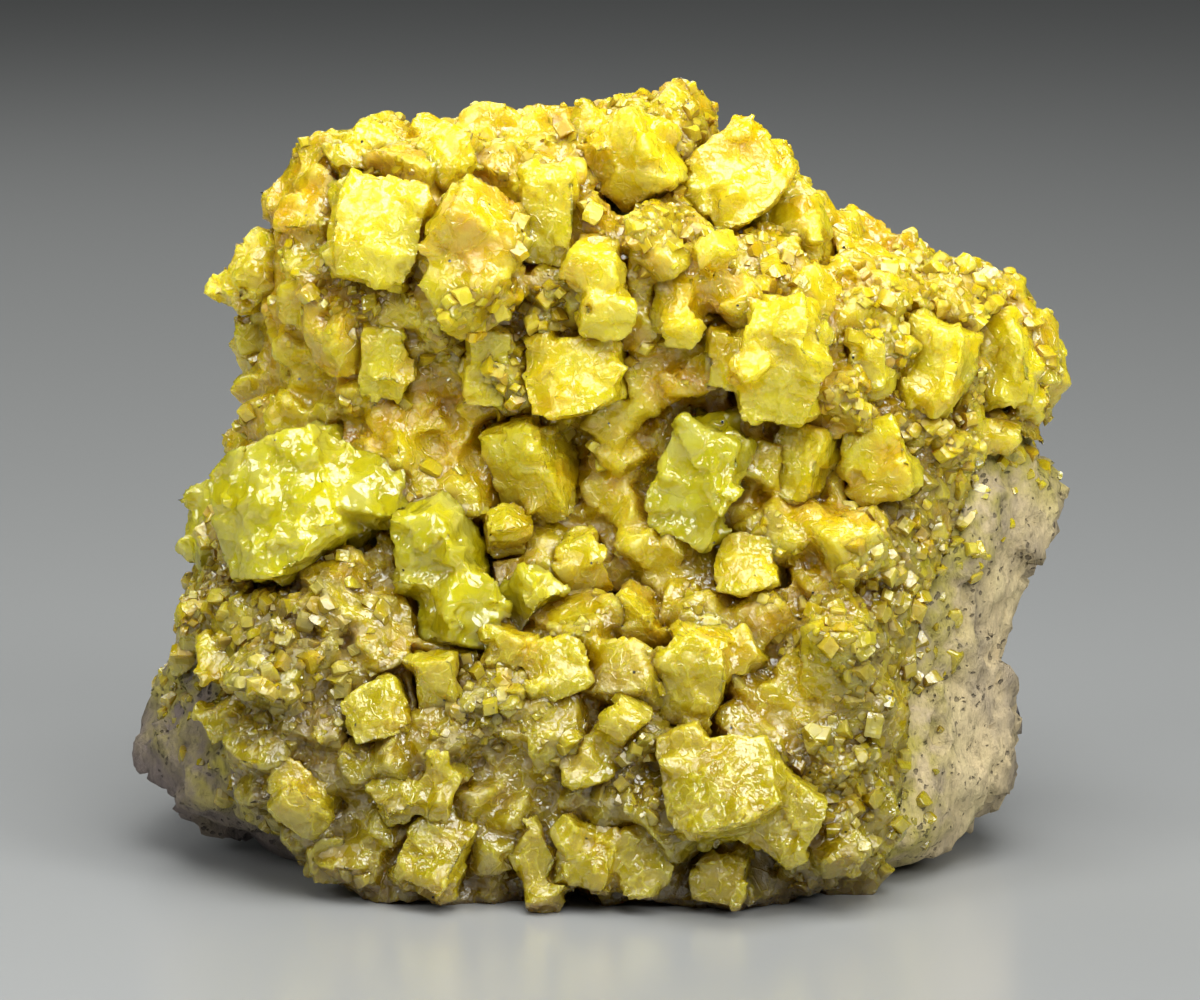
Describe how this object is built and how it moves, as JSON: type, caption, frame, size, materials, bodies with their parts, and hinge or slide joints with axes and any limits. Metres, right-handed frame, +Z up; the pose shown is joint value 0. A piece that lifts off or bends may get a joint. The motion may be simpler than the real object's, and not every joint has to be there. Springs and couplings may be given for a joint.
{
  "type": "native sulfur crystal specimen",
  "caption": "Natural sulfur specimen: yellow crystals grown over the front and top of a lump of porous volcanic tuff, standing on a flat resting face.",
  "frame": {"origin": "middle of the bounding box, at the height of the flat resting face", "axes": "+X to the specimen's right as seen from its crystal-covered front, -Y towards that front, +Z up"},
  "size_m": [0.094, 0.0658, 0.077],
  "materials": {
    "tuff": "matte",
    "druse_sulfur": "satin",
    "cloudy_sulfur": "gloss",
    "clear_sulfur": "polished"
  },
  "bodies": {
    "root": {"matrix_rock": "tuff", "sulfur_druse": "druse_sulfur", "clear_left_cluster": "clear_sulfur", "clear_left_neighbour": "clear_sulfur", "upper_left_block": "cloudy_sulfur", "left_edge_upper": "cloudy_sulfur", "left_edge_lower": "cloudy_sulfur", "left_mid_block": "cloudy_sulfur", "tall_upper_centre": "cloudy_sulfur", "stacked_pair": "cloudy_sulfur", "round_centre": "cloudy_sulfur", "small_prism": "cloudy_sulfur", "tilted_tablet": "cloudy_sulfur", "big_right_block": "cloudy_sulfur", "upper_right_block": "cloudy_sulfur", "centre_round": "cloudy_sulfur", "centre_right": "clear_sulfur", "right_mid_small": "cloudy_sulfur", "right_mid_upper": "cloudy_sulfur", "right_mid_lower": "cloudy_sulfur", "small_cube": "cloudy_sulfur", "centre_low_prism": "cloudy_sulfur", "centre_glassy": "clear_sulfur", "low_round_pair": "cloudy_sulfur", "low_centre_block": "cloudy_sulfur", "horned_low_right": "cloudy_sulfur", "right_low_rosette": "cloudy_sulfur", "bottom_right_mass": "cloudy_sulfur", "bottom_centre_pair": "cloudy_sulfur", "bottom_centre_left": "cloudy_sulfur", "bottom_left_wedge": "cloudy_sulfur", "bottom_front_spur": "cloudy_sulfur", "grey_cluster": "cloudy_sulfur", "low_left_step": "cloudy_sulfur", "low_left_lump": "cloudy_sulfur", "low_left_tooth": "cloudy_sulfur", "flank_hexagon": "cloudy_sulfur", "flank_pebble": "cloudy_sulfur", "foot_hollow": "cloudy_sulfur", "foot_tablet": "cloudy_sulfur", "crest_left": "cloudy_sulfur", "crest_fin": "cloudy_sulfur", "crest_centre": "cloudy_sulfur", "crest_right": "cloudy_sulfur", "shoulder_inner": "cloudy_sulfur", "shoulder_outer": "cloudy_sulfur"}
  },
  "joints": []
}
